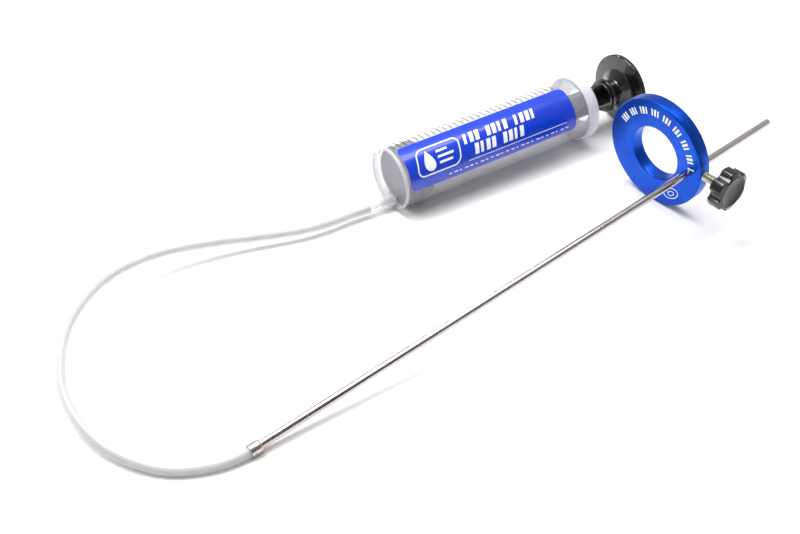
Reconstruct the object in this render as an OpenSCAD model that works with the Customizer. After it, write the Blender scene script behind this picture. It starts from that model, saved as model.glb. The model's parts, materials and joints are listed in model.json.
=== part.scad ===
// Fork oil level tool: a large suction syringe, a hose and a graduated probe tube
// with a sliding depth collar. Millimetres, +Z up, standing on z = 0.
// +X runs along the probe tube, towards its tip.

/* [Syringe barrel] */
// Outside radius of the barrel
barrel_r = 20.5; // [18:0.5:24]
// Wall thickness of the barrel
barrel_wall = 1.4; // [1:0.1:2]
// Length of the barrel, front rim to rear end
barrel_len = 154; // [130:1:180]
// Outside radius of the front rim
rim_r = 20.9; // [20.7:0.1:23]
// Depth of the recess in the front end
recess = 3.4; // [3:0.1:6]
// Distance from the barrel's axis to the nozzle
nozzle_offset = 15.2; // [10:0.1:15.4]
// Turn of the nozzle about the barrel's axis, from straight down
nozzle_turn = -9; // [-90:1:90]

/* [Rear cap] */
// Outside radius of the screw cap
cap_r = 22.7; // [22.5:0.1:26]
// Length of the screw cap
cap_len = 10.2; // [8:0.1:14]
// Radius of the hole that the plunger runs through
cap_hole_r = 11.6; // [11:0.1:14]

/* [Plunger] */
// Half-width of the cross-shaped rod
rod_r = 10.6; // [8:0.1:11]
// Thickness of the rod's ribs
rib_t = 2.4; // [1.5:0.1:4]
// Radius of the thumb disc
thumb_r = 25; // [23:0.1:30]
// Length of the rubber stopper
stopper_len = 16; // [12:1:22]

/* [Probe tube] */
// Outside diameter of the probe tube
tube_d = 4.76; // [4:0.01:4.8]
// Inside diameter of the probe tube
tube_bore = 3.4; // [2:0.1:3.6]
// Tube from the collar's front face to the tip, as stored
tip_out = 75; // [40:0.5:120]
// Tube from the ferrule's open end to the collar's front face
probe_back = 324; // [280:1:360]

/* [Depth collar] */
// Outside radius of the collar
collar_r = 37; // [35:0.5:40]
// Radius of the collar's central bore
collar_bore_r = 18.2; // [15:0.1:19]
// Thickness of the collar
collar_t = 9; // [8:0.5:12]
// Distance from the collar's centre to the probe tube
tube_offset = 27.8; // [27:0.1:29]

/* [Clamp knob] */
// Outside radius of the knob over its lobes
knob_r = 13.4; // [13:0.1:18]
// Number of lobes
knob_lobes = 6; // [5:1:9]
// Thickness of the knob
knob_t = 10.5; // [9:0.5:15]
// Turn of the knob's first lobe, from the tube's direction
knob_turn = 24; // [0:1:60]
// Radius of the M6 clamp stud
stud_r = 3; // [2.5:0.5:3]

/* [Hose] */
// Outside diameter of the hose
hose_d = 6; // [5:0.5:6]

/* [Hidden] */
$fn = 96;

// Running and assembly clearances
slide_gap = 0.04;
seal_gap = 0.04;
loose_gap = 0.3;

// Places of the two halves on the ground
probe_x = 124;
probe_y = -58.6;
syringe_x = -11;
syringe_y = 68.4;
syringe_yaw = -5.2;

// Barrel stations along its axis, from the front rim
bore_r = barrel_r - barrel_wall;
face_t = 1.4;
flange_x = barrel_len - 9.5;
flange_r = barrel_r + 1.3;
flange_t = 2;
thread_r = barrel_r + 0.4;
thread_pitch = 2.4;
cap_wall = 2.5;
cap_x = flange_x + flange_t + loose_gap;
cap_back = cap_x + cap_len;
cap_skirt_r = thread_r + 0.35;
cap_front_round = 1.2;

// Nozzle and hose adapter
nozzle_r = 2.3;
nozzle_len = 10;
nozzle_bore = 1.2;
boss_r = 3.9;
adapter_front = 17;
adapter_back = 1.6;
adapter_r = 3.5;
barb_len = 8;
barb_r = 1.9;

// Label
label_t = 0.12;
label_x = 4.4;
label_len = 131.8;
label_from = 2.5;
label_to = 92;

// Stopper and rod stations
stopper_x = recess + face_t + loose_gap;
head_x = stopper_x + 6;
head_r = 10;
head_t = 4;
neck_r = 6;
rod_disc_r = bore_r - 1.6;
rod_disc_t = 2.4;
rod_x = stopper_x + stopper_len + 0.1;
rod_end = cap_back + 20;
spigot_r = 4;
spigot_len = 7;

// Thumb disc, from the rod's end
thumb_neck_r = 9.2;
thumb_collar_r = 11.8;
thumb_collar_t = 2.2;
flare_x = 8.4;
flare_r = 7.4;
flare_len = 4.8;
thumb_rim_x = 14.3;
thumb_t = 3.6;
thumb_edge = 0.8;

// Ferrule
ferrule_r = 3.5;
ferrule_len = 7.4;
ferrule_socket = 5;
ferrule_step_r = 3;

// Clamp stud, knob and pad, as distances from the tube's axis
pad_face = tube_d / 2 + 0.02;
pad_r = 2.8;
pad_t = 3;
pin_r = 1.4;
pin_len = 1.8;
stud_tip = pad_face + pad_t + 0.05;
knob_back = 21;
knob_front = knob_back + knob_t;
knob_socket = 8;
knob_boss_r = 6;
scallop_r = 3.8;
scallop_out = 1.3;
knob_cap_r = 10.1;
knob_cap_t = 2.2;

// Both halves lie on the ground: the probe slopes from the ferrule up to the collar,
// and the syringe rests on its front rim and its thumb disc
probe_tilt = atan((collar_r - ferrule_r) / probe_back);
syringe_tilt = atan((thumb_r - rim_r) / (rod_end + thumb_rim_x + thumb_edge));

// Points on the hose's centreline, chosen by hand, nozzle to ferrule
hose_route = [
    [-27.9, 67.5, 5.6], [-40, 69.2, 5.5], [-58, 70.6, 6], [-77, 74.5, 6.6],
    [-102, 84, 8], [-122, 91, 10], [-144.5, 97, 12.5], [-160, 99.2, 14],
    [-176, 98.8, 15.5], [-193, 95.6, 16.5], [-212, 87, 16.5], [-228, 75.2, 15.6],
    [-240, 61.5, 14], [-249, 46.5, 12], [-254.5, 33, 10], [-257, 18, 8],
    [-256.8, 1, 6.3], [-253, -16.5, 5], [-246.5, -30.5, 4], [-238.5, -41.5, 3.4],
    [-228.5, -49.5, 3.1], [-217, -55.2, 3.1], [-206.5, -58, 3.1],
    [-198.3, -58.6, 3.5], [-193.3, -58.6, 4]
];
hose_sides = 10;
hose_steps = 3;

// ---- placing ----

// Turns a piece drawn along +Z so that it lies along +X
module along_x() {
    rotate([0, 90, 0]) children();
}

// Syringe frame: origin at the centre of the front rim, +X towards the thumb disc
module in_syringe() {
    translate([syringe_x, syringe_y, rim_r * cos(syringe_tilt)])
        rotate([0, -syringe_tilt, syringe_yaw]) children();
}

// Probe frame: origin on the tube's axis at the collar's front face, +X to the tip
module in_probe() {
    translate([probe_x, probe_y, collar_r * cos(probe_tilt)])
        rotate([0, -probe_tilt, 0]) children();
}

// Clamp frame: +Z runs outwards along the stud, from the tube's axis
module in_clamp() {
    in_probe() translate([collar_t / 2, 0, 0]) rotate([90, 0, 0]) children();
}

// A disc or ring on the syringe's axis, from station x
module ring_at(x, length, outer, inner = 0) {
    translate([x, 0, 0]) along_x() difference() {
        cylinder(r = outer, h = length);
        if (inner > 0) translate([0, 0, -1]) cylinder(r = inner, h = length + 2);
    }
}

// Puts a piece on the nozzle's axis, at station x
module on_nozzle(x) {
    rotate([nozzle_turn, 0, 0]) translate([x, 0, -nozzle_offset]) along_x() children();
}

module nozzle_rod(x, length, radius) {
    on_nozzle(x) cylinder(r = radius, h = length);
}

// ---- syringe ----

module barrel_shell() {
    along_x() rotate_extrude() polygon([
        [bore_r + 0.5, 0], [rim_r - 0.4, 0], [rim_r, 0.4], [rim_r, 1.6], [barrel_r, 2.3],
        [barrel_r, flange_x - 2.5], [flange_r - 0.3, flange_x], [flange_r, flange_x + 0.4],
        [flange_r, flange_x + flange_t], [barrel_r, flange_x + flange_t],
        [barrel_r, barrel_len], [bore_r, barrel_len], [bore_r, recess + face_t],
        [0, recess + face_t], [0, recess], [bore_r + 0.5, recess]
    ]);
}

module barrel_thread() {
    for (x = [flange_x + flange_t + 1 : thread_pitch : barrel_len - 1])
        translate([x, 0, 0]) along_x() rotate_extrude() polygon([
            [barrel_r - 0.2, 0], [thread_r, 0.3], [thread_r, 0.8], [barrel_r - 0.2, 1.1]
        ]);
}

module barrel() {
    color([0.93, 0.94, 0.95, 0.6]) in_syringe() difference() {
        union() {
            barrel_shell();
            barrel_thread();
            nozzle_rod(recess - 1.2, 1.4, boss_r);
            nozzle_rod(recess + 0.2 - nozzle_len, nozzle_len, nozzle_r);
        }
        nozzle_rod(recess - nozzle_len - 1, nozzle_len + face_t + 2, nozzle_bore);
    }
}

module barrel_label() {
    color("mediumblue") in_syringe() translate([label_x, 0, 0]) along_x()
        rotate([0, 0, 180 + label_from]) rotate_extrude(angle = label_to - label_from)
            translate([barrel_r, 0]) square([label_t, label_len]);
}

module rear_cap() {
    color([0.95, 0.95, 0.96, 0.5]) in_syringe() translate([cap_x, 0, 0]) along_x()
        rotate_extrude() polygon([
            [cap_skirt_r, 0], [cap_r - 0.7, 0], [cap_r, cap_front_round],
            [cap_r, cap_len - 3.6], [cap_r - 0.5, cap_len - 1.6],
            [cap_r - 1.5, cap_len - 0.5], [cap_r - 3, cap_len],
            [cap_hole_r, cap_len], [cap_hole_r, cap_len - cap_wall],
            [cap_skirt_r, cap_len - cap_wall]
        ]);
}

module piston_stopper() {
    seal_r = bore_r - seal_gap;
    waist_r = bore_r - 0.9;
    color([0.16, 0.16, 0.17]) in_syringe() translate([stopper_x, 0, 0]) along_x()
        rotate_extrude() polygon([
            [0, 0], [seal_r - 1.2, 0], [seal_r, 1.4], [seal_r, 3], [waist_r, 3.8],
            [waist_r, stopper_len - 4], [seal_r, stopper_len - 3.2],
            [seal_r, stopper_len - 1.4], [seal_r - 0.8, stopper_len],
            [neck_r + slide_gap, stopper_len],
            [neck_r + slide_gap, head_x - stopper_x + head_t + 0.1],
            [head_r + slide_gap, head_x - stopper_x + head_t + 0.1],
            [head_r + slide_gap, head_x - stopper_x - 0.1], [0, head_x - stopper_x - 0.1]
        ]);
}

module plunger_rod() {
    web_x = rod_x + rod_disc_t;
    web_len = rod_end - rod_disc_t - web_x;
    color([0.07, 0.07, 0.07]) in_syringe() {
        ring_at(head_x, head_t, head_r);
        ring_at(head_x + head_t - 0.1, rod_x - head_x - head_t + 0.2, neck_r);
        ring_at(rod_x, rod_disc_t, rod_disc_r);
        for (turn = [0, 90]) rotate([turn, 0, 0])
            translate([web_x - 0.1, -rod_r, -rib_t / 2])
                cube([web_len + 0.2, 2 * rod_r, rib_t]);
        for (part = [1 : 3]) ring_at(web_x + part * web_len / 4, 1.6, rod_r - 0.6);
        ring_at(rod_end - rod_disc_t, rod_disc_t, rod_r);
        ring_at(rod_end - 0.1, spigot_len, spigot_r);
    }
}

// Quarter-round flare between the neck and the disc
function flare_points() = [
    for (a = [0 : 15 : 90])
        [thumb_neck_r + flare_r * (1 - cos(a)), flare_x + flare_len * sin(a)]
];

module thumb_disc() {
    face_dish = 0.8;
    color([0.03, 0.03, 0.03]) in_syringe() translate([rod_end, 0, 0]) along_x()
        rotate_extrude() polygon(concat(
            [[spigot_r + slide_gap, 0], [thumb_collar_r - 0.4, 0], [thumb_collar_r, 0.4],
             [thumb_collar_r, thumb_collar_t - 0.4], [thumb_collar_r - 0.4, thumb_collar_t],
             [thumb_neck_r, thumb_collar_t + 0.3]],
            flare_points(),
            [[thumb_r - thumb_edge, thumb_rim_x], [thumb_r, thumb_rim_x + thumb_edge],
             [thumb_r, thumb_rim_x + thumb_t - thumb_edge],
             [thumb_r - thumb_edge, thumb_rim_x + thumb_t],
             [thumb_r - 4, thumb_rim_x + thumb_t - face_dish],
             [0, thumb_rim_x + thumb_t - face_dish],
             [0, spigot_len + 0.1], [spigot_r + slide_gap, spigot_len + 0.1]]
        ));
}

module hose_adapter() {
    hub_back = nozzle_len - recess - 3.5;
    color([0.95, 0.96, 0.97, 0.6]) in_syringe() difference() {
        union() {
            nozzle_rod(-adapter_front, adapter_front + adapter_back, adapter_r);
            nozzle_rod(-2.4, 2.4, adapter_r + 1);
            for (x = [-7, -11, -15]) nozzle_rod(x, 1.4, adapter_r + 0.4);
            nozzle_rod(-adapter_front - barb_len, barb_len + 0.1, barb_r - 0.3);
            for (x = [2.4, 5, 7.6]) on_nozzle(-adapter_front - x)
                cylinder(r1 = barb_r - 0.4, r2 = barb_r, h = 2);
        }
        nozzle_rod(-hub_back - 4, hub_back + 10, nozzle_r + slide_gap);
        nozzle_rod(-adapter_front - barb_len - 1, adapter_front + barb_len, nozzle_bore);
    }
}

// ---- hose ----

// Point at t in 0..1 between b and c on a Catmull-Rom curve through a, b, c, d
function curve_point(a, b, c, d, t) =
    0.5 * (2 * b + t * (c - a) + t * t * (2 * a - 5 * b + 4 * c - d)
        + t * t * t * (3 * b - a - 3 * c + d));

function clamp_index(i, n) = max(0, min(n - 1, i));

function centreline(route, steps) = let (n = len(route)) [
    for (i = [0 : n - 2]) for (k = [0 : steps - 1])
        curve_point(route[clamp_index(i - 1, n)], route[i], route[i + 1],
            route[clamp_index(i + 2, n)], k / steps),
    route[n - 1]
];

function unit(v) = v / norm(v);

// Ring of points about p, square to the direction d
function ring_points(p, d, radius, sides) =
    let (side = unit(cross(d, [0, 0, 1])), rise = cross(side, d)) [
        for (k = [0 : sides - 1])
            p + radius * (cos(360 * k / sides) * side + sin(360 * k / sides) * rise)
    ];

function ring_direction(line, i) =
    unit(line[clamp_index(i + 1, len(line))] - line[clamp_index(i - 1, len(line))]);

module hose() {
    line = centreline(hose_route, hose_steps);
    rings = len(line);
    points = [
        for (i = [0 : rings - 1])
            each ring_points(line[i], ring_direction(line, i), hose_d / 2, hose_sides)
    ];
    walls = [
        for (i = [0 : rings - 2]) for (k = [0 : hose_sides - 1])
            let (a = i * hose_sides + k, b = i * hose_sides + (k + 1) % hose_sides)
                [a, b, b + hose_sides, a + hose_sides]
    ];
    first_cap = [for (k = [hose_sides - 1 : -1 : 0]) k];
    last_cap = [for (k = [0 : hose_sides - 1]) (rings - 1) * hose_sides + k];
    color([0.93, 0.94, 0.95, 0.7]) polyhedron(points, concat([first_cap], walls, [last_cap]));
}

// ---- probe ----

module ferrule() {
    color("silver") in_probe() translate([-probe_back, 0, 0]) along_x()
        rotate_extrude() polygon([
            [hose_d / 2 + 0.1, 0], [ferrule_r - 0.2, 0], [ferrule_r, 0.2],
            [ferrule_r, ferrule_len - 1.4], [ferrule_step_r, ferrule_len - 0.8],
            [ferrule_step_r, ferrule_len], [tube_d / 2, ferrule_len],
            [tube_d / 2, ferrule_socket], [hose_d / 2 + 0.1, ferrule_socket]
        ]);
}

module probe_tube() {
    start = ferrule_socket - probe_back;
    color("gainsboro") in_probe() ring_at(start, tip_out - start, tube_d / 2, tube_bore / 2);
}

module depth_collar() {
    edge = 0.6;
    color("royalblue") in_probe() difference() {
        translate([0, tube_offset, 0]) along_x() rotate_extrude() polygon([
            [collar_bore_r, edge], [collar_bore_r + edge, 0], [collar_r - edge, 0],
            [collar_r, edge], [collar_r, collar_t - edge], [collar_r - edge, collar_t],
            [collar_bore_r + edge, collar_t], [collar_bore_r, collar_t - edge]
        ]);
        translate([-1, 0, 0]) along_x() cylinder(r = tube_d / 2 + slide_gap, h = collar_t + 2);
        translate([collar_t / 2, 0, 0]) rotate([90, 0, 0])
            cylinder(r = stud_r + slide_gap, h = collar_r - tube_offset + 2);
    }
}

module thrust_pad() {
    color("ivory") in_clamp() difference() {
        translate([0, 0, pad_face]) cylinder(r = pad_r, h = pad_t);
        translate([0, 0, pad_face + pad_t - pin_len - 0.1])
            cylinder(r = pin_r + slide_gap, h = pin_len + 1);
    }
}

module clamp_stud() {
    color([0.82, 0.8, 0.72]) in_clamp() {
        translate([0, 0, stud_tip]) cylinder(r = stud_r, h = knob_back + knob_socket - stud_tip);
        translate([0, 0, stud_tip - pin_len]) cylinder(r = pin_r, h = pin_len + 0.1);
    }
}

module clamp_knob() {
    lip = 1;
    color([0.12, 0.12, 0.12]) in_clamp() difference() {
        union() {
            translate([0, 0, knob_back + 1]) rotate_extrude() polygon([
                [0, 0], [knob_r - lip, 0], [knob_r, lip], [knob_r, knob_t - 1 - 2 * lip],
                [knob_r - lip, knob_t - 1 - lip / 2], [knob_cap_r + 1, knob_t - 1],
                [0, knob_t - 1]
            ]);
            translate([0, 0, knob_back]) cylinder(r = knob_boss_r, h = 2);
        }
        for (k = [0 : knob_lobes - 1]) rotate([0, 0, knob_turn + (k + 0.5) * 360 / knob_lobes])
            translate([knob_r + scallop_out, 0, knob_back]) cylinder(r = scallop_r, h = knob_t + 1);
        translate([0, 0, knob_back - 1]) cylinder(r = stud_r, h = knob_socket + 1);
        translate([0, 0, knob_front - knob_cap_t])
            cylinder(r = knob_cap_r + slide_gap, h = knob_cap_t + 1);
    }
}

module knob_cap() {
    dish = 1.2;
    color([0.2, 0.2, 0.2]) in_clamp() translate([0, 0, knob_front - knob_cap_t])
        rotate_extrude() polygon([
            [0, 0], [knob_cap_r, 0], [knob_cap_r, knob_cap_t - 0.2],
            [knob_cap_r - 0.5, knob_cap_t], [knob_cap_r * 0.6, knob_cap_t - dish * 0.65],
            [0, knob_cap_t - dish]
        ]);
}

barrel();
barrel_label();
rear_cap();
piston_stopper();
plunger_rod();
thumb_disc();
hose_adapter();
hose();
ferrule();
probe_tube();
depth_collar();
thrust_pad();
clamp_stud();
clamp_knob();
knob_cap();
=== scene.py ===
import json
import math

import bmesh
import bpy
from mathutils import Matrix, Vector


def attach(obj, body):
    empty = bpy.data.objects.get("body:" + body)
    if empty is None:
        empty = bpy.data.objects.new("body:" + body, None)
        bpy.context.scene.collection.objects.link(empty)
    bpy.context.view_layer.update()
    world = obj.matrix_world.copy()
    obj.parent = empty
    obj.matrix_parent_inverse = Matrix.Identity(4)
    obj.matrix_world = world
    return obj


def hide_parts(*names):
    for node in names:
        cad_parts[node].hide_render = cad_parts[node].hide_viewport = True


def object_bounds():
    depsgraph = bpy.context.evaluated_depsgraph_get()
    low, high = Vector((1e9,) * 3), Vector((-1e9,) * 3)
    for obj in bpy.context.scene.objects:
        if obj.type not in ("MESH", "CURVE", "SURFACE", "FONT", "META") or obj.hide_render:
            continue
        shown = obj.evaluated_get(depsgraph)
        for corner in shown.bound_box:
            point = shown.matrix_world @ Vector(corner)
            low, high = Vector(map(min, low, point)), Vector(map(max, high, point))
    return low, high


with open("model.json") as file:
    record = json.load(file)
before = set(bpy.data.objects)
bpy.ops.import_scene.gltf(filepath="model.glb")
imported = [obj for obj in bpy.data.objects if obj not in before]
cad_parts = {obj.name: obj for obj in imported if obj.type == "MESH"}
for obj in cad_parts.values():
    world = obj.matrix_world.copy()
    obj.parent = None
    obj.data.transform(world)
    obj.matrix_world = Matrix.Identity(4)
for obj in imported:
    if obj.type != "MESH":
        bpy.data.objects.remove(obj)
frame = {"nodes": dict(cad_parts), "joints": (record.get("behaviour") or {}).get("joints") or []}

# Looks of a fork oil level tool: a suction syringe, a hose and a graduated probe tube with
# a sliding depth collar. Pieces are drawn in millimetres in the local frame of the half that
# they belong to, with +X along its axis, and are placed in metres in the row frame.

MM = 0.001
CAD_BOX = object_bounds()

# ---- local frames, from the joints ----

JOINTS = {joint["name"]: joint for joint in frame["joints"]}


def axes_along(direction, origin):
    """Matrix with +X along direction, +Z as far up as it can be, and its origin given."""
    x = Vector(direction).normalized()
    y = Vector((0, 0, 1)).cross(x).normalized()
    z = x.cross(y)
    turned = Matrix((x, y, z)).transposed().to_4x4()
    return Matrix.Translation(Vector(origin)) @ turned


def shifted(matrix, x=0.0, y=0.0, z=0.0):
    """The same axes with the origin moved by millimetres along them."""
    return matrix @ Matrix.Translation(Vector((x, y, z)) * MM)


def local_box(node, matrix):
    """Lowest and highest corner of a CAD node in a local frame, in millimetres."""
    to_local = matrix.inverted()
    points = [to_local @ v.co for v in frame["nodes"][node].data.vertices]
    low = Vector([min(p[i] for p in points) for i in range(3)]) / MM
    high = Vector([max(p[i] for p in points) for i in range(3)]) / MM
    return low, high


def far_radius(node, matrix):
    """Largest distance of a CAD node from a local frame's Z axis, in millimetres."""
    to_local = matrix.inverted()
    points = [to_local @ v.co for v in frame["nodes"][node].data.vertices]
    return max(math.hypot(p.x, p.y) for p in points) / MM


# SYRINGE and PROBE have +X along their own axis. CLAMP has +Z, and STUD_AXIS +X, outwards
# along the clamp's stud.
SYRINGE = axes_along(JOINTS["plunger_spin"]["axis"], JOINTS["plunger_spin"]["pos_m"])
CLAMP_POINT = axes_along(JOINTS["collar_slide"]["axis"], JOINTS["knob_turn"]["pos_m"])
COLLAR_BACK, COLLAR_FRONT = local_box("depth_collar", CLAMP_POINT)
COLLAR_T = COLLAR_FRONT.x - COLLAR_BACK.x
PROBE = shifted(CLAMP_POINT, x=-COLLAR_T / 2)
CLAMP = CLAMP_POINT @ Matrix(((0, 1, 0), (0, 0, -1), (-1, 0, 0))).to_4x4()
STUD_AXIS = CLAMP @ Matrix.Rotation(-math.pi / 2, 4, "Y")

# ---- sizes in millimetres, read from the frame where a node gives them ----

SLIP_GAP = 0.04
PRINT_LIFT = 0.004
PRINT_T = 0.03

BARREL_LOW, BARREL_HIGH = local_box("barrel", SYRINGE)
LABEL_LOW, LABEL_HIGH = local_box("barrel_label", SYRINGE)
CAP_LOW, CAP_HIGH = local_box("rear_cap", SYRINGE)
STOPPER_LOW, STOPPER_HIGH = local_box("piston_stopper", SYRINGE)
THUMB_LOW, THUMB_HIGH = local_box("thumb_disc", SYRINGE)

BARREL_LEN = BARREL_HIGH.x
NOZZLE_TIP = BARREL_LOW.x
NOZZLE_OFFSET = 15.2
NOZZLE_TURN = math.radians(-9)
FLANGE_R = BARREL_HIGH.y
FLANGE_OUT = 1.3
FLANGE_T = 2.0
NECK_LEN = 9.5
FLANGE_X = BARREL_LEN - NECK_LEN
THREAD_PITCH = 2.4
BARREL_R = FLANGE_R - FLANGE_OUT
RIM_R = BARREL_R + 0.4
BORE_R = STOPPER_HIGH.y + SLIP_GAP
FACE_T = 1.4
FACE_GAP = 0.3
RECESS = STOPPER_LOW.x - FACE_GAP - FACE_T

CAP_R = CAP_HIGH.y
CAP_HOLE_R = 11.6
CAP_SKIRT_R = BARREL_R + 0.75
CAP_WALL = 2.5

ROD_END = THUMB_LOW.x
ROD_DISC_X = STOPPER_HIGH.x + 0.1
ROD_DISC_T = 2.4
ROD_R = 10.6
RIB_T = 2.4
FOOT_R = 10
FOOT_T = 4
FOOT_X = STOPPER_LOW.x + 6
SHANK_R = 6
THUMB_R = THUMB_HIGH.y
THUMB_LEN = THUMB_HIGH.x - ROD_END
THUMB_PIN_R = 4

TUBE_LOW, TUBE_HIGH = local_box("probe_tube", PROBE)
TUBE_START = TUBE_LOW.x
TUBE_TIP = TUBE_HIGH.x
TUBE_R = TUBE_HIGH.y
TUBE_BORE_R = 1.7
TUBE_SCALE_TURN = math.radians(118)
FERRULE_LOW, FERRULE_HIGH = local_box("ferrule", PROBE)

COLLAR_LOW, COLLAR_HIGH = local_box("depth_collar", PROBE)
COLLAR_R = (COLLAR_HIGH.y - COLLAR_LOW.y) / 2
COLLAR_Y = (COLLAR_HIGH.y + COLLAR_LOW.y) / 2
COLLAR_BORE_R = 18.2
COLLAR_EDGE = 0.6

PAD_LOW, PAD_HIGH = local_box("thrust_pad", CLAMP)
STUD_LOW, STUD_HIGH = local_box("clamp_stud", CLAMP)
STUD_R = STUD_HIGH.x
STUD_PIN_R = 1.4
STUD_TIP = PAD_HIGH.z + 0.05
STUD_IN_KNOB = 8
KNOB_LOW, KNOB_HIGH = local_box("clamp_knob", CLAMP)
KNOB_R = far_radius("clamp_knob", CLAMP)
KNOB_LOBES = 6
KNOB_TURN = math.radians(24)
SCALLOP_R = 3.8
SCALLOP_OUT = 1.3
COVER_LOW, COVER_HIGH = local_box("knob_cap", CLAMP)
COVER_R = COVER_HIGH.x

HOSE_R = 3.0
LUMEN_R = 1.9

# Points on the hose's centreline, in metres, nozzle to ferrule, as in the CAD model
HOSE_ROUTE = [
    (-0.0279, 0.0675, 0.0056), (-0.04, 0.0692, 0.0055), (-0.058, 0.0706, 0.006),
    (-0.077, 0.0745, 0.0066), (-0.102, 0.084, 0.008), (-0.122, 0.091, 0.01),
    (-0.1445, 0.097, 0.0125), (-0.16, 0.0992, 0.014), (-0.176, 0.0988, 0.0155),
    (-0.193, 0.0956, 0.0165), (-0.212, 0.087, 0.0165), (-0.228, 0.0752, 0.0156),
    (-0.24, 0.0615, 0.014), (-0.249, 0.0465, 0.012), (-0.2545, 0.033, 0.01),
    (-0.257, 0.018, 0.008), (-0.2568, 0.001, 0.0063), (-0.253, -0.0165, 0.005),
    (-0.2465, -0.0305, 0.004), (-0.2385, -0.0415, 0.0034), (-0.2285, -0.0495, 0.0031),
    (-0.217, -0.0552, 0.0031), (-0.2065, -0.058, 0.0031), (-0.1983, -0.0586, 0.0035),
    (-0.1933, -0.0586, 0.004),
]

# ---- camera ----


def put_in_scene(name, data):
    """A new object of that data in the scene."""
    made = bpy.data.objects.new(name, data)
    bpy.context.scene.collection.objects.link(made)
    return made


def make_camera():
    data = bpy.data.cameras.new("camera")
    data.sensor_width = 36
    data.lens = 52.85
    data.clip_start = 0.01
    data.clip_end = 20
    camera = put_in_scene("camera", data)
    camera.location = (-0.3868, -0.4203, 0.44544)
    camera.rotation_euler = [math.radians(a) for a in (51.155, 0, -38.21)]
    bpy.context.scene.camera = camera


# ---- material helpers ----


def new_material(name, **sockets):
    """A material with one Principled shader; returns it, its tree and the shader."""
    material = bpy.data.materials.new(name)
    material.use_nodes = True
    tree = material.node_tree
    shader = tree.nodes["Principled BSDF"]
    for socket, value in sockets.items():
        shader.inputs[socket.replace("_", " ")].default_value = value
    return material, tree, shader


def object_coordinates(tree, stretch=(1, 1, 1)):
    """The piece's own coordinates in metres, stretched by a factor along each axis."""
    source = tree.nodes.new("ShaderNodeTexCoord")
    mapping = tree.nodes.new("ShaderNodeMapping")
    mapping.inputs["Scale"].default_value = stretch
    tree.links.new(source.outputs["Object"], mapping.inputs["Vector"])
    return mapping.outputs["Vector"]


def noise(tree, scale, detail=4, roughness=0.55, stretch=(1, 1, 1), vector=None):
    """A noise value, scale in cells per metre."""
    node = tree.nodes.new("ShaderNodeTexNoise")
    node.inputs["Scale"].default_value = scale
    node.inputs["Detail"].default_value = detail
    node.inputs["Roughness"].default_value = roughness
    tree.links.new(vector or object_coordinates(tree, stretch), node.inputs["Vector"])
    return node.outputs["Fac"]


def ramp(tree, value, *stops):
    """A colour ramp through (position, colour) stops."""
    node = tree.nodes.new("ShaderNodeValToRGB")
    elements = node.color_ramp.elements
    while len(elements) < len(stops):
        elements.new(0.5)
    for element, (position, colour) in zip(elements, stops):
        element.position = position
        element.color = (*colour, 1)
    tree.links.new(value, node.inputs["Fac"])
    return node.outputs["Color"]


def remap(tree, value, low, high, start, end):
    """A value spread from start..end to low..high."""
    node = tree.nodes.new("ShaderNodeMapRange")
    node.inputs["From Min"].default_value = start
    node.inputs["From Max"].default_value = end
    node.inputs["To Min"].default_value = low
    node.inputs["To Max"].default_value = high
    tree.links.new(value, node.inputs["Value"])
    return node.outputs["Result"]


def maths(tree, operation, first, second=None):
    node = tree.nodes.new("ShaderNodeMath")
    node.operation = operation
    tree.links.new(first, node.inputs[0])
    if second is not None:
        tree.links.new(second, node.inputs[1])
    return node.outputs["Value"]


def bump(tree, shader, height, strength, distance):
    """Relief from a height value, distance in metres."""
    node = tree.nodes.new("ShaderNodeBump")
    node.inputs["Strength"].default_value = strength
    node.inputs["Distance"].default_value = distance
    tree.links.new(height, node.inputs["Height"])
    tree.links.new(node.outputs["Normal"], shader.inputs["Normal"])


def tint(tree, shader, value, dark, light):
    """Base colour from dark to light over the middle of a noise value."""
    tree.links.new(ramp(tree, value, (0.3, dark), (0.7, light)), shader.inputs["Base Color"])


def gloss(tree, shader, value, low, high):
    """Roughness from low to high over the middle of a noise value."""
    tree.links.new(remap(tree, value, low, high, 0.3, 0.7), shader.inputs["Roughness"])


def moulded(name, dark, light, roughness, grain, **sockets):
    """Moulded plastic or rubber: soft colour drift, uneven gloss and a fine surface grain."""
    material, tree, shader = new_material(name, **sockets)
    tint(tree, shader, noise(tree, 60, detail=3), dark, light)
    gloss(tree, shader, noise(tree, 140, detail=5), *roughness)
    cells, strength = grain
    bump(tree, shader, noise(tree, cells, detail=3), strength, 0.0001)
    return material


# ---- materials ----


def frosted_plastic():
    return moulded(
        "frosted_plastic", (0.60, 0.60, 0.66), (0.66, 0.66, 0.72), (0.24, 0.36),
        grain=(1500, 0.1), Alpha=0.22, IOR=1.49)


# A darker, cloudier copy of the barrel's plastic for the recessed front face: the darker tone is painted
# shade in the recess.
def face_plastic_painted_shade():
    return moulded(
        "face_plastic_painted_shade", (0.50, 0.50, 0.56), (0.55, 0.55, 0.61), (0.3, 0.42),
        grain=(1500, 0.1), Alpha=0.4, IOR=1.49)


# A lighter, cloudier copy of the barrel's plastic for the front rim: a painted highlight along the rim's
# bevel.
def rim_plastic_painted_highlight():
    return moulded(
        "rim_plastic_painted_highlight", (0.62, 0.62, 0.65), (0.67, 0.67, 0.70), (0.2, 0.3),
        grain=(1500, 0.1), Alpha=0.55, IOR=1.49)


def cap_plastic():
    return moulded(
        "cap_plastic", (0.78, 0.78, 0.82), (0.84, 0.84, 0.88), (0.2, 0.32),
        grain=(1300, 0.12), Alpha=0.58, IOR=1.49)


def clear_plastic():
    return moulded(
        "clear_plastic", (0.74, 0.75, 0.77), (0.82, 0.83, 0.84), (0.08, 0.16),
        grain=(700, 0.05), Alpha=0.36, Coat_Weight=0.4)


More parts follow.
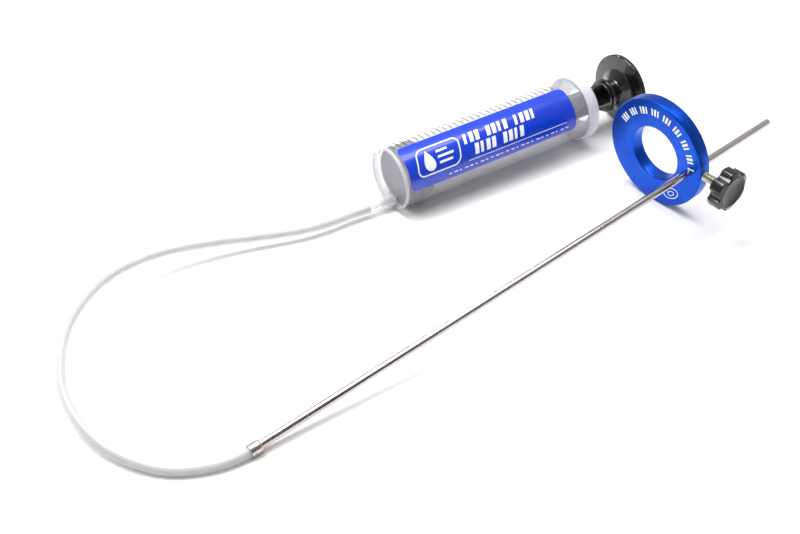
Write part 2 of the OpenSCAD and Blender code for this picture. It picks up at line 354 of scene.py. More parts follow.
def hose_plastic():
    return moulded(
        "hose_plastic", (0.61, 0.61, 0.61), (0.67, 0.67, 0.67), (0.16, 0.28),
        grain=(500, 0.06), Alpha=0.55, Coat_Weight=0.3)


# A paler strand inside the hose: a painted highlight for its bright core line.
def core_line_painted_highlight():
    return moulded(
        "core_line_painted_highlight", (0.70, 0.70, 0.70), (0.75, 0.75, 0.75), (0.3, 0.4),
        grain=(500, 0.04), Alpha=0.6)


def rubber():
    return moulded(
        "stopper_rubber", (0.018, 0.018, 0.02), (0.035, 0.035, 0.037), (0.5, 0.65),
        grain=(2200, 0.2))


def gloss_black():
    return moulded(
        "gloss_black", (0.003, 0.0026, 0.0027), (0.008, 0.007, 0.0072), (0.12, 0.2),
        grain=(350, 0.04), Coat_Weight=0.5, Coat_Roughness=0.05)


def satin_black():
    return moulded(
        "satin_black", (0.003, 0.0026, 0.0026), (0.008, 0.0068, 0.0068), (0.16, 0.26),
        grain=(2600, 0.1), Coat_Weight=0.4, Coat_Roughness=0.1)


def cover_black():
    return moulded(
        "cover_black", (0.004, 0.0034, 0.0034), (0.009, 0.0076, 0.0076), (0.2, 0.3),
        grain=(2000, 0.1), Coat_Weight=0.1, Coat_Roughness=0.12, Specular_IOR_Level=0.35)


def nylon():
    return moulded(
        "nylon", (0.62, 0.60, 0.52), (0.72, 0.70, 0.62), (0.4, 0.52),
        grain=(1500, 0.1))


def label_film():
    """Glossy printed film, its blue drifting a little, under a thin clear coat."""
    material, tree, shader = new_material("label_film", Coat_Weight=0.5, Coat_Roughness=0.04)
    tint(tree, shader, noise(tree, 45, detail=2), (0.0005, 0.035, 0.52), (0.0008, 0.045, 0.60))
    gloss(tree, shader, noise(tree, 220, detail=4), 0.22, 0.27)
    bump(tree, shader, noise(tree, 1400, detail=2), 0.015, 0.00005)
    return material


def print_white():
    return moulded(
        "print_white", (0.86, 0.87, 0.9), (0.95, 0.95, 0.96), (0.28, 0.4),
        grain=(1800, 0.05), Coat_Weight=0.6, Coat_Roughness=0.08)


def scale_ink():
    return moulded(
        "scale_ink", (0.012, 0.010, 0.008), (0.04, 0.034, 0.026), (0.65, 0.8),
        grain=(1800, 0.1), Specular_IOR_Level=0.05)


def etched_mark():
    return moulded(
        "etched_mark", (0.16, 0.13, 0.12), (0.28, 0.23, 0.21), (0.4, 0.55),
        grain=(2400, 0.2), Metallic=0.8)


def polished_steel():
    """Drawn steel: colour, gloss and fine lines all stretched along the tube."""
    material, tree, shader = new_material("polished_steel", Metallic=1.0)
    drift = noise(tree, 55, detail=5, stretch=(0.35, 1, 1))
    tree.links.new(ramp(tree, drift, (0.32, (0.50, 0.455, 0.435)), (0.68, (0.60, 0.56, 0.54))),
                   shader.inputs["Base Color"])
    gloss(tree, shader, noise(tree, 300, detail=5, stretch=(0.2, 1, 1)), 0.14, 0.3)
    bump(tree, shader, noise(tree, 2600, detail=3, stretch=(0.02, 1, 1)), 0.06, 0.00005)
    return material


def worn_nickel():
    material, tree, shader = new_material("worn_nickel", Metallic=1.0)
    wear = noise(tree, 420, detail=7, roughness=0.7)
    tree.links.new(ramp(tree, wear, (0.34, (0.28, 0.23, 0.19)), (0.5, (0.52, 0.46, 0.41)),
                        (0.72, (0.72, 0.68, 0.63))), shader.inputs["Base Color"])
    gloss(tree, shader, wear, 0.42, 0.2)
    bump(tree, shader, noise(tree, 1500, detail=5), 0.3, 0.0001)
    return material


def zinc():
    material, tree, shader = new_material("zinc", Metallic=1.0)
    patches = noise(tree, 600, detail=5)
    tint(tree, shader, patches, (0.5, 0.46, 0.36), (0.78, 0.74, 0.64))
    gloss(tree, shader, patches, 0.4, 0.24)
    bump(tree, shader, noise(tree, 2500, detail=3), 0.2, 0.00005)
    return material


def anodised_blue():
    """Satin anodising over turned aluminium: fine rings about the axis, under a thin gloss."""
    material, tree, shader = new_material(
        "anodised_blue", Metallic=0.97, Coat_Weight=0.04, Coat_Roughness=0.22)
    parts = tree.nodes.new("ShaderNodeSeparateXYZ")
    tree.links.new(object_coordinates(tree), parts.inputs["Vector"])
    squares = [maths(tree, "MULTIPLY", parts.outputs[a], parts.outputs[a]) for a in ("Y", "Z")]
    radius = maths(tree, "SQRT", maths(tree, "ADD", *squares))
    rings = tree.nodes.new("ShaderNodeCombineXYZ")
    tree.links.new(radius, rings.inputs["X"])
    tree.links.new(parts.outputs["X"], rings.inputs["Y"])
    grooves = noise(tree, 5200, detail=2, vector=rings.outputs["Vector"])
    tint(tree, shader, noise(tree, 40, detail=4), (0.004, 0.062, 0.46), (0.012, 0.095, 0.58))
    gloss(tree, shader, grooves, 0.26, 0.4)
    bump(tree, shader, grooves, 0.16, 0.00006)
    return material


def floor_paint():
    material, tree, shader = new_material("floor_paint", Roughness=0.7)
    tint(tree, shader, noise(tree, 3, detail=2), (0.90, 0.90, 0.90), (0.92, 0.92, 0.92))
    return material


# ---- mesh helpers ----

ON_AXIS = 1e-6
SHARP = 35


def unit_2d(a, b):
    length = math.dist(a, b)
    return (b[0] - a[0]) / length, (b[1] - a[1]) / length


def rounded(corners, closed=True, steps=5):
    """Outline through (a, b, fillet radius) corners, each corner rounded by its own radius."""
    points = []
    count = len(corners)
    for i, (a, b, radius) in enumerate(corners):
        if radius <= 0 or (not closed and i in (0, count - 1)):
            points.append((a, b))
            continue
        before = unit_2d((a, b), corners[i - 1][:2])
        after = unit_2d((a, b), corners[(i + 1) % count][:2])
        cosine = before[0] * after[0] + before[1] * after[1]
        half = math.acos(max(-1.0, min(1.0, cosine))) / 2
        reach = radius / math.tan(half)
        middle = (before[0] + after[0], before[1] + after[1])
        scale = radius / math.sin(half) / math.hypot(*middle)
        centre = (a + middle[0] * scale, b + middle[1] * scale)
        start = math.atan2(b + before[1] * reach - centre[1], a + before[0] * reach - centre[0])
        end = math.atan2(b + after[1] * reach - centre[1], a + after[0] * reach - centre[0])
        sweep = (end - start + math.pi) % (2 * math.pi) - math.pi
        for k in range(steps + 1):
            angle = start + sweep * k / steps
            points.append((centre[0] + radius * math.cos(angle), centre[1] + radius * math.sin(angle)))
    return points


def lathe(bm, profile, segments, shape):
    """Turns a profile of (x, radius) points about the X axis. A profile that doesn't start and
    end on the axis is closed to its start. shape(x, radius, angle) may move a point in or out by
    millimetres. A point on the axis becomes one vertex."""
    rings = []
    for x, radius in profile:
        if radius < ON_AXIS:
            rings.append([bm.verts.new((x, 0, 0))])
            continue
        ring = []
        for k in range(segments):
            angle = 2 * math.pi * k / segments
            reach = radius + (shape(x, radius, angle) if shape else 0)
            ring.append(bm.verts.new((x, -reach * math.sin(angle), reach * math.cos(angle))))
        rings.append(ring)
    pairs = list(zip(rings, rings[1:]))
    if len(rings[0]) > 1 or len(rings[-1]) > 1:
        pairs.append((rings[-1], rings[0]))
    for first, second in pairs:
        for k in range(segments):
            n = (k + 1) % segments
            corners = [first[k % len(first)], first[n % len(first)],
                       second[n % len(second)], second[k % len(second)]]
            distinct = list(dict.fromkeys(corners))
            if len(distinct) > 2:
                bm.faces.new(distinct)


def band(bm, first, second):
    """Faces between two rings with the same number of points."""
    for k in range(len(first)):
        n = (k + 1) % len(first)
        bm.faces.new((first[k], first[n], second[n], second[k]))


def slab(bm, outer, inner, loop=False):
    """A closed thin solid between two grids of points, rows of equal length. A loop joins the
    last row to the first."""
    top = [[bm.verts.new(p) for p in row] for row in outer]
    bottom = [[bm.verts.new(p) for p in row] for row in inner]
    rows, columns = len(top), len(top[0])
    spans = [(i, (i + 1) % rows) for i in range(rows if loop else rows - 1)]
    for i, j in spans:
        for k in range(columns - 1):
            bm.faces.new((top[i][k], top[j][k], top[j][k + 1], top[i][k + 1]))
            bm.faces.new((bottom[i][k], bottom[i][k + 1], bottom[j][k + 1], bottom[j][k]))
        for k in (0, columns - 1):
            bm.faces.new((top[i][k], bottom[i][k], bottom[j][k], top[j][k]))
    if not loop:
        for i in (0, rows - 1):
            for k in range(columns - 1):
                bm.faces.new((top[i][k], top[i][k + 1], bottom[i][k + 1], bottom[i][k]))


def patch(bm, rows, surface, height, thickness, loop=False):
    """A closed raised patch: rows of (u, v) points laid on surface(u, v, height)."""
    slab(bm, [[surface(u, v, height + thickness) for u, v in row] for row in rows],
         [[surface(u, v, height) for u, v in row] for row in rows], loop)


def steps_between(start, end, step):
    """Even steps from start to end, each near the step asked for."""
    count = max(1, round(abs(end - start) / step))
    return [start + (end - start) * k / count for k in range(count + 1)]


def line_rows(x, half_line, start, end, step):
    """Rows of a line round a tube at station x, from start to end."""
    return [[(x - half_line, a), (x, a), (x + half_line, a)] for a in steps_between(start, end, step)]


def bar_rows(u, v, wide, tall, slant=0.0, columns=3, rows=3):
    """Rows of a straight bar with its lower left corner at (u, v), leaning by slant."""
    return [[(u + slant * tall * j / (rows - 1) + wide * i / (columns - 1), v + tall * j / (rows - 1))
             for i in range(columns)] for j in range(rows)]


def finish_mesh(name, bm, matrix, material, sharp=SHARP):
    """Turns a bmesh in millimetres into an object with clean normals in the local frame."""
    bmesh.ops.remove_doubles(bm, verts=bm.verts, dist=1e-5)
    bmesh.ops.recalc_face_normals(bm, faces=bm.faces)
    mesh = bpy.data.meshes.new(name)
    bm.to_mesh(mesh)
    bm.free()
    mesh.transform(Matrix.Scale(MM, 4))
    piece = put_in_scene(name, mesh)
    piece.matrix_world = matrix
    mesh.materials.append(material)
    smooth(mesh, sharp)
    return piece


def smooth(mesh, sharp):
    """Smooth shading with edges over the sharp angle kept crisp."""
    mesh.polygons.foreach_set("use_smooth", [True] * len(mesh.polygons))
    mesh.set_sharp_from_angle(angle=math.radians(sharp))


def combine(target, operation, *tools):
    """Applies exact booleans to target and removes the tools."""
    for tool in tools:
        modifier = target.modifiers.new(operation.lower(), "BOOLEAN")
        modifier.operation = operation
        modifier.solver = "EXACT"
        modifier.object = tool
    bpy.context.view_layer.update()
    graph = bpy.context.evaluated_depsgraph_get()
    made = bpy.data.meshes.new_from_object(target.evaluated_get(graph))
    material = target.data.materials[0]
    target.modifiers.clear()
    target.data = made
    made.materials.clear()
    made.materials.append(material)
    for tool in tools:
        bpy.data.objects.remove(tool)
    smooth(made, SHARP)


def turned(name, profile, matrix, material, segments, shape=None):
    """A turned object from a profile of (x, radius) points in millimetres."""
    bm = bmesh.new()
    lathe(bm, profile, segments, shape)
    return finish_mesh(name, bm, matrix, material)


def stands_for(piece, body, slot, *nodes):
    """piece rides on body and is shown instead of the nodes. slot is not used."""
    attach(piece, body)
    if nodes:
        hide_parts(*nodes)


# ---- syringe ----


def nozzle_frame():
    """Axes along the nozzle, which is off the barrel's centre."""
    return SYRINGE @ Matrix.Rotation(NOZZLE_TURN, 4, "X") @ Matrix.Translation(
        Vector((0, 0, -NOZZLE_OFFSET * MM)))


def helix(x, angle, pitch):
    """Height from 0 to 1 of a rounded screw ridge at station x and angle."""
    phase = (x / pitch - angle / (2 * math.pi)) % 1
    return max(0.0, math.cos(2 * math.pi * phase)) ** 1.5


def barrel_profile():
    """Outside from the front rim to the back, then the bore and the front face."""
    screw_start = FLANGE_X + FLANGE_T
    front = rounded([
        (0, BORE_R + 0.5, 0.3), (0, RIM_R, 0.4), (2.0, RIM_R, 0.8), (2.6, BARREL_R, 0.8),
        (FLANGE_X - 2.2, BARREL_R, 2.0), (FLANGE_X, FLANGE_R, 0.3),
        (screw_start, FLANGE_R, 0.5), (screw_start, BARREL_R, 0.2), (screw_start + 0.6, BARREL_R, 0),
    ], closed=False)
    front.insert(0, (0.3, BORE_R + 0.5))
    screw = [(x, BARREL_R) for x in steps_between(screw_start + 0.7, BARREL_LEN - 0.3, 0.2)]
    back = rounded([
        (BARREL_LEN - 0.1, BARREL_R, 0), (BARREL_LEN, BARREL_R - 0.1, 0), (BARREL_LEN, BORE_R, 0.4),
        (RECESS + FACE_T, BORE_R, 1.0), (RECESS + FACE_T, 0, 0),
    ], closed=False)
    face = rounded([(RECESS, 0, 0), (RECESS, BORE_R + 0.5, 1.2), (0.3, BORE_R + 0.5, 0)], closed=False)
    return front + screw + back + face[:-1]


def barrel_thread(x, radius, angle):
    """The barrel's screw thread, fading out at both of its ends."""
    start = FLANGE_X + FLANGE_T + 0.9
    end = BARREL_LEN - 0.6
    if radius < BARREL_R - 0.05 or not start < x < end:
        return 0
    fade = min(1, (x - start) / 0.8, (end - x) / 0.8)
    return 0.4 * fade * helix(x, angle, THREAD_PITCH)


def frost_front(mesh, face, rim):
    """Gives the front face, and the rim round it, their own, cloudier plastics. The face's is darker,
    painted shade in the recess; the rim's is lighter, a painted highlight along the rim.
    """
    mesh.materials.append(face)
    mesh.materials.append(rim)
    rim_len = 2.0
    for polygon in mesh.polygons:
        x = polygon.center.x / MM
        radius = math.hypot(polygon.center.y, polygon.center.z) / MM
        # The front face takes the darker plastic, painted shade.
        if RECESS - 0.2 < x < RECESS + FACE_T + 0.2 and abs(polygon.normal.x) > 0.8:
            polygon.material_index = 1
        # The rim round the face takes the lighter plastic, a painted highlight.
        elif radius > BORE_R:
            rim_end = rim_len if radius > BARREL_R - 0.4 else RECESS - 0.1
            if -0.1 < x < rim_end:
                polygon.material_index = 2


def make_barrel(plastic, face, rim):
    barrel = turned("barrel_body", barrel_profile(), SYRINGE, plastic, 192, barrel_thread)
    at_nozzle = nozzle_frame()
    root_r, bore_r = 3.9, 1.2
    outside = rounded([
        (RECESS + 0.8, 0, 0), (RECESS + 0.8, root_r, 0.2), (RECESS - 1.2, root_r, 0.4),
        (RECESS - 1.3, 2.5, 0.2), (NOZZLE_TIP, 2.25, 0.3), (NOZZLE_TIP, 0, 0),
    ], closed=False)
    nozzle = turned("nozzle", outside, at_nozzle, plastic, 64)
    bore_start, bore_end = NOZZLE_TIP - 1, RECESS + FACE_T + 1
    bore_line = [(bore_start, 0), (bore_start, bore_r), (bore_end, bore_r), (bore_end, 0)]
    bore = turned("nozzle_bore", bore_line, at_nozzle, plastic, 48)
    combine(barrel, "UNION", nozzle)
    combine(barrel, "DIFFERENCE", bore)
    frost_front(barrel.data, face, rim)
    stands_for(barrel, "tool", "frosted_barrel", "barrel")


def on_barrel(x, around, height):
    """Point on the barrel, around in millimetres from the top towards the label."""
    angle = around / BARREL_R
    reach = BARREL_R + height
    return (x, -reach * math.sin(angle), reach * math.cos(angle))


def make_graduations(ink):
    """Capacity marks, each 5 ml, running over the top of the barrel behind the label."""
    bm = bmesh.new()
    mark_volume = 5000
    spacing = mark_volume / (math.pi * BORE_R ** 2)
    half_line, lift = 0.32, 0.006
    long_reach, short_reach = 26, 19
    first = RECESS + FACE_T + FACE_GAP
    mark = 0
    while first + spacing * mark < FLANGE_X - 9:
        x = first + spacing * mark
        reach = short_reach if mark % 5 else long_reach
        patch(bm, line_rows(x, half_line, 0.2, 0.2 - reach, 0.9), on_barrel, lift, PRINT_T)
        mark += 1
    marks = finish_mesh("barrel_scale", bm, SYRINGE, ink)
    stands_for(marks, "tool", "frosted_barrel")


# ---- label ----

LABEL_FROM = math.radians(2.5) * BARREL_R
LABEL_TO = math.radians(92) * BARREL_R
LABEL_X = LABEL_LOW.x
LABEL_END = LABEL_HIGH.x
LABEL_CORNER = 4.0
LABEL_T = 0.12


def label_rows():
    """Rows over the label with its four corners rounded."""
    tall = LABEL_TO - LABEL_FROM
    columns = 66
    near = [LABEL_CORNER * (1 - math.cos(math.pi / 2 * k / 8)) for k in range(9)]
    middle = steps_between(LABEL_CORNER, tall - LABEL_CORNER, 0.8)[1:-1]
    places = near + middle + [tall - v for v in reversed(near)]
    rows = []
    for v in places:
        depth = max(0.0, LABEL_CORNER - min(v, tall - v))
        inset = LABEL_CORNER - math.sqrt(max(0.0, LABEL_CORNER ** 2 - depth ** 2))
        start, end = LABEL_X + inset, LABEL_END - inset
        rows.append([(start + (end - start) * k / columns, LABEL_FROM + v)
                     for k in range(columns + 1)])
    return rows


def make_label(film):
    bm = bmesh.new()
    patch(bm, label_rows(), on_barrel, PRINT_LIFT, LABEL_T)
    label = finish_mesh("label_sheet", bm, SYRINGE, film)
    stands_for(label, "tool", "blue_label", "barrel_label")


def drop_rows(centre_u, centre_v, radius):
    """Rows over a drop whose point is towards the label's top edge."""
    steps = 26
    rows = []
    for k in range(1, steps):
        angle = math.pi * k / steps
        half = radius * math.sin(angle) * math.sin(angle / 2) ** 1.3
        v = centre_v - radius * 1.25 * math.cos(angle)
        rows.append([(centre_u + half * s / 6, v) for s in range(-6, 7)])
    return rows


def badge_path(centre_u, centre_v, half_u, half_v, lean):
    """A closed rounded rectangle, leaning like the bars beside it."""
    corner = half_v * 0.55
    corners = [(-half_u, -half_v, corner), (half_u, -half_v, corner),
               (half_u, half_v, corner), (-half_u, half_v, corner)]
    outline = rounded(corners, steps=12)
    longest = 0.9
    dense = []
    for (u0, v0), (u1, v1) in zip(outline, outline[1:] + outline[:1]):
        parts = max(1, round(math.dist((u0, v0), (u1, v1)) / longest))
        dense += [(u0 + (u1 - u0) * k / parts, v0 + (v1 - v0) * k / parts) for k in range(parts)]
    return [(centre_u + u + lean * v, centre_v + v) for u, v in dense]


def closed_line_rows(path, width):
    """Rows across a closed line; the last row is followed by the first."""
    rows = []
    for i, (u, v) in enumerate(path):
        du, dv = unit_2d(path[i - 1], path[(i + 1) % len(path)])
        rows.append([(u - dv * width * s, v + du * width * s) for s in (-0.5, 0, 0.5)])
    return rows


def make_label_print(white):
    """Generic print: a drop in a badge, two lines of slanted bars, a rule and a dashed line."""
    bm = bmesh.new()
    lean = -0.24

    def put(rows, loop=False):
        patch(bm, rows, on_barrel, PRINT_LIFT + LABEL_T, PRINT_T, loop)

    middle = (LABEL_FROM + LABEL_TO) / 2
    badge_u, badge_v = LABEL_X + 24, middle - 0.5
    put(closed_line_rows(badge_path(badge_u, badge_v, 16, 8.6, lean), 0.9), loop=True)
    put(drop_rows(badge_u - 7.5, badge_v, 5.4))
    for level, reach in enumerate((8.5, 12, 10)):
        put(bar_rows(badge_u - 0.6, badge_v - 4.6 + 3.7 * level, reach, 1.5, lean, 8, 3))
    line_u = LABEL_X + 46
    for row, (first, count) in enumerate(((0, 13), (0.8, 11))):
        for k in range(count):
            if (k + 3 * row) % 5 == 3:
                continue
            wide = 3.1 if (k + row) % 3 else 2.2
            put(bar_rows(line_u + first + 4.5 * k, middle - 8.6 + 8.4 * row, wide, 6.8, lean, 3, 9))
    rule = middle + 8.8
    put(bar_rows(LABEL_X + 44, rule, LABEL_END - LABEL_X - 52, 0.4, 0, 40, 2))
    for k in range(24):
        dash = 2.2 + 0.8 * math.sin(k * 2.3)
        put(bar_rows(LABEL_X + 28 + 4.1 * k, rule + 3.4, dash, 0.7, 0, 3, 2))
    marks = finish_mesh("label_print", bm, SYRINGE, white)
    stands_for(marks, "tool", "blue_label")


# ---- cap, stopper, rod and thumb disc ----


def make_cap(plastic):
    """A skirt with thread grooves inside, and an end wall with the rod's hole."""
    length = CAP_HIGH.x - CAP_LOW.x
    outside = rounded([
        (0, CAP_SKIRT_R, 0.3), (0, CAP_R, 1.0), (length - 2.6, CAP_R, 2.0),
        (length, CAP_R - 3, 1.5), (length, CAP_HOLE_R, 0.4), (length - CAP_WALL, CAP_HOLE_R, 0.4),
        (length - CAP_WALL, CAP_SKIRT_R, 0.4),
    ], steps=7)

    groove_from, groove_to = 1.2, length - CAP_WALL - 1.2
    inner = [(x, CAP_SKIRT_R) for x in reversed(steps_between(groove_from, groove_to, 0.22))]

    def grooves(x, radius, angle):
        if abs(radius - CAP_SKIRT_R) > 0.01 or not groove_from < x < groove_to:
            return 0
        fade = min(1, (x - groove_from) / 0.6, (groove_to - x) / 0.6)
        return 0.35 * fade * helix(x + CAP_LOW.x, angle, THREAD_PITCH)

    cap = turned("cap_shell", outside + inner, shifted(SYRINGE, x=CAP_LOW.x), plastic, 160, grooves)
    stands_for(cap, "cap", "clear_cap", "rear_cap")


def make_stopper(material):
    """Sealing lips outside, and the pocket that holds the rod's foot."""
    length = STOPPER_HIGH.x - STOPPER_LOW.x
    seal = BORE_R - SLIP_GAP
    waist = BORE_R - 1.3
    neck, pocket = SHANK_R + SLIP_GAP, FOOT_R + SLIP_GAP
    neck_len = STOPPER_HIGH.x - FOOT_X - FOOT_T
    pocket_depth = neck_len + FOOT_T + 0.1
    outline = rounded([
        (0, 0, 0), (0, seal - 1.3, 0.5), (1.4, seal, 0.8), (3.0, seal, 0.7), (3.8, waist, 0.5),
        (length / 2 - 1.4, waist, 0.4), (length / 2 - 0.6, seal - 0.35, 0.5),
        (length / 2 + 0.6, seal - 0.35, 0.5), (length / 2 + 1.4, waist, 0.4),
        (length - 4, waist, 0.5), (length - 3.2, seal, 0.6), (length - 1.2, seal, 0.7),
        (length, seal - 1.1, 0.5), (length, neck, 0.2), (length - neck_len, neck, 0.2),
        (length - neck_len, pocket, 0.2), (length - pocket_depth, pocket, 0.2),
        (length - pocket_depth, 0, 0),
    ], closed=False)
    stopper = turned("stopper_body", outline, shifted(SYRINGE, x=STOPPER_LOW.x), material, 160)
    stands_for(stopper, "piston", "stopper_rubber", "piston_stopper")


def ring_piece(start, length, radius, edge, material, segments=96):
    outline = rounded([(start, 0, 0), (start, radius, edge), (start + length, radius, edge),
                       (start + length, 0, 0)], closed=False)
    return turned("part", outline, SYRINGE, material, segments)


def cross_web(start, end, material):
    """The rod's cross-shaped web, with rounded rib edges and filleted inner corners."""
    half, tip, fillet = RIB_T / 2, 0.5, 1.4
    quarter = [(ROD_R, -half, tip), (ROD_R, half, tip), (half, half, fillet)]
    corners = []
    for turn in range(4):
        c, s = round(math.cos(turn * math.pi / 2)), round(math.sin(turn * math.pi / 2))
        corners += [(c * a - s * b, s * a + c * b, radius) for a, b, radius in quarter]
    outline = rounded(corners, steps=5)
    bm = bmesh.new()
    rings = [[bm.verts.new((x, a, b)) for a, b in outline] for x in (start, end)]
    band(bm, *rings)
    bm.faces.new(rings[0])
    bm.faces.new(list(reversed(rings[1])))
    return finish_mesh("part", bm, SYRINGE, material)


def make_rod(material):
    """The cross-ribbed web with its foot, shank, discs, rings and the thumb disc's pin."""
    rod = cross_web(ROD_DISC_X + 1, ROD_END - 1, material)
    rod.name = "rod_body"
    shank_x = FOOT_X + FOOT_T - 1
    parts = [
        ring_piece(FOOT_X, FOOT_T, FOOT_R, 0.4, material),
        ring_piece(shank_x, ROD_DISC_X + 1 - shank_x, SHANK_R, 0.1, material),
        ring_piece(ROD_DISC_X, ROD_DISC_T, BORE_R - 1.6, 0.5, material, 128),
        ring_piece(ROD_END - ROD_DISC_T, ROD_DISC_T, ROD_R, 0.4, material),
        ring_piece(ROD_END - 0.5, 7.4, THUMB_PIN_R, 0.3, material, 64),
    ]
    web_start = ROD_DISC_X + ROD_DISC_T
    web_len = ROD_END - ROD_DISC_T - web_start
    parts += [ring_piece(web_start + k * web_len / 4, 1.6, ROD_R - 0.6, 0.3, material) for k in (1, 2, 3)]
    combine(rod, "UNION", *parts)
    stands_for(rod, "plunger", "black_rod", "plunger_rod")


def make_thumb_disc(material):
    """Collar, neck and disc, with a shallow dish behind and the pin's blind hole."""
    back = THUMB_LEN
    rim_x = back - 3.6
    collar_r, neck_r = 11.8, 9.2
    hole_r, hole_depth = THUMB_PIN_R + SLIP_GAP, 7.1
    outline = rounded([
        (0, hole_r, 0.2), (0, collar_r, 0.5), (2.2, collar_r, 0.5), (2.5, neck_r, 0.5),
        (8.8, neck_r, 1.5), (rim_x - 1.2, 15.5, 4.5), (rim_x, THUMB_R, 0.8), (back, THUMB_R, 1.1),
        (back, THUMB_R - 3.4, 1.0), (back - 0.8, THUMB_R - 5, 1.0), (back - 0.8, 0, 0),
        (hole_depth, 0, 0), (hole_depth, hole_r, 0.2),
    ], steps=8)
    # The profile has to start on the axis, inside the pin's hole
    axis = min(range(len(outline)), key=lambda i: (outline[i][1] > ON_AXIS, outline[i][0]))
    ordered = outline[axis:] + outline[:axis]
    disc = turned("thumb_plate", ordered, shifted(SYRINGE, x=ROD_END), material, 192)
    stands_for(disc, "plunger", "black_disc", "thumb_disc")


# ---- hose and its fittings ----


def make_adapter(material):
    """Clear Luer hub with an end flange, ribs and a three-step barb."""
    def grips(x, radius, angle):
        """Ten shallow flutes in the hub between its ribs."""
        flutes = 10
        lands = abs(radius - hub_r) < 0.01 and -15.6 < x < -4
        return -0.22 * max(0.0, math.cos(flutes * angle)) ** 4 if lands else 0

    back = local_box("hose_adapter", SYRINGE)[1].x
    hub_r, rib_r, rib_len = 3.5, 3.9, 1.4
    ribs = []
    for x in (-5.6, -9.6, -13.6):
        ribs += [(x, hub_r, 0.3), (x, rib_r, 0.2), (x - rib_len, rib_r, 0.2), (x - rib_len, hub_r, 0.3)]
    outside = rounded([
        (back, hub_r, 0.3), (0, hub_r, 0.2), (0, 4.5, 0.4), (-2.4, 4.5, 0.4), (-2.4, hub_r, 0.3),
        *ribs,
        (-17, hub_r, 0.5), (-17, 1.6, 0.3), (-19.4, 1.9, 0.1), (-19.6, 1.5, 0.1),
        (-22, 1.9, 0.1), (-22.2, 1.5, 0.1), (-24.6, 1.9, 0.1), (-25, 1.5, 0.2),
        (-25, 1.2, 0.1), (-7, 1.2, 0.2), (-7, 2.34, 0.2), (back, 2.34, 0.2),
    ], steps=4)
    adapter = turned("adapter_body", outside, nozzle_frame(), material, 80, grips)
    stands_for(adapter, "tool", "clear_adapter", "hose_adapter")


def hose_curve(name, radius, material):
    """One smooth open curve through the route's points."""
    data = bpy.data.curves.new(name, "CURVE")
    data.dimensions = "3D"
    data.resolution_u = 12
    data.bevel_depth = radius * MM
    data.bevel_resolution = 8
    data.use_fill_caps = True
    spline = data.splines.new("BEZIER")
    spline.bezier_points.add(len(HOSE_ROUTE) - 1)
    points = [Vector(p) for p in HOSE_ROUTE]
    last = len(points) - 1
    for i, knot in enumerate(spline.bezier_points):
        lean = (points[min(i + 1, last)] - points[max(i - 1, 0)]) / 6
        knot.handle_left_type = knot.handle_right_type = "FREE"
        knot.co = points[i]
        knot.handle_left = points[i] - lean
        knot.handle_right = points[i] + lean
    curve = put_in_scene(name, data)
    data.materials.append(material)
    return curve


def make_hose(wall_material, core_highlight_material):
    """The hose's wall and, inside it along the bore, a paler strand: a painted highlight for the hose's
    bright core line.
    """
    hose = hose_curve("hose_line", HOSE_R, wall_material)
    stands_for(hose, "tool", "hose_clear", "hose")
    painted_core_line = hose_curve("hose_core_painted_highlight", LUMEN_R, core_highlight_material)
    stands_for(painted_core_line, "tool", "hose_clear")


# ---- probe ----


def make_ferrule(material):
    """The sleeve over the hose's end, stepped down to the tube."""
    length = FERRULE_HIGH.x - FERRULE_LOW.x
    sleeve_r, front_r, hose_r, hose_depth = 3.5, 3.02, 3.1, 5
    outline = rounded([
        (0, hose_r, 0.15), (0, sleeve_r, 0.2), (length - 1.5, sleeve_r, 0.35),
        (length - 1.0, front_r, 0.3), (length, front_r, 0.25), (length, TUBE_R, 0.1),
        (hose_depth, TUBE_R, 0.1), (hose_depth, hose_r, 0.1),
    ], steps=5)
    ferrule = turned("ferrule_body", outline, shifted(PROBE, x=FERRULE_LOW.x), material, 96)
    stands_for(ferrule, "tool", "nickel_ferrule", "ferrule")


def make_tube(material):
    edge, tip_edge = 0.12, 0.25
    outline = rounded([
        (TUBE_START, TUBE_BORE_R, edge), (TUBE_START, TUBE_R, edge),
        (TUBE_TIP, TUBE_R, tip_edge), (TUBE_TIP, TUBE_BORE_R, tip_edge),
    ], steps=4)
    tube = turned("tube_body", outline, PROBE, material, 96)
    stands_for(tube, "tool", "polished_steel", "probe_tube")


def on_tube(x, around, height):
    """Point on the tube, around in millimetres from the scale's zero line on its front side."""
    angle = around / TUBE_R + TUBE_SCALE_TURN
    reach = TUBE_R + height
    return (x, -reach * math.sin(angle), reach * math.cos(angle))


def make_tube_scale(material):
    """Etched marks an eighth of an inch apart over the last twelve inches, longer at each half
    inch and longest at each inch."""
    bm = bmesh.new()
    eighth = 25.4 / 8
    marks_on_foot = 12 * 8
    half_line, start = 0.16, -0.9
    lift, depth = 0.003, 0.012
    for mark in range(1, marks_on_foot + 1):
        x = TUBE_TIP - eighth * mark
        if mark % 8 == 0:
            reach = 3.4
        elif mark % 4 == 0:
            reach = 2.6
        else:
            reach = 1.8
        patch(bm, line_rows(x, half_line, start, start + reach, 0.3), on_tube, lift, depth)
    marks = finish_mesh("tube_scale", bm, PROBE, material)
    stands_for(marks, "tool", "polished_steel")


def hole_cutter(name, start, end, radius, matrix, material):
    return turned(name, [(start, 0), (start, radius), (end, radius), (end, 0)], matrix, material, 64)


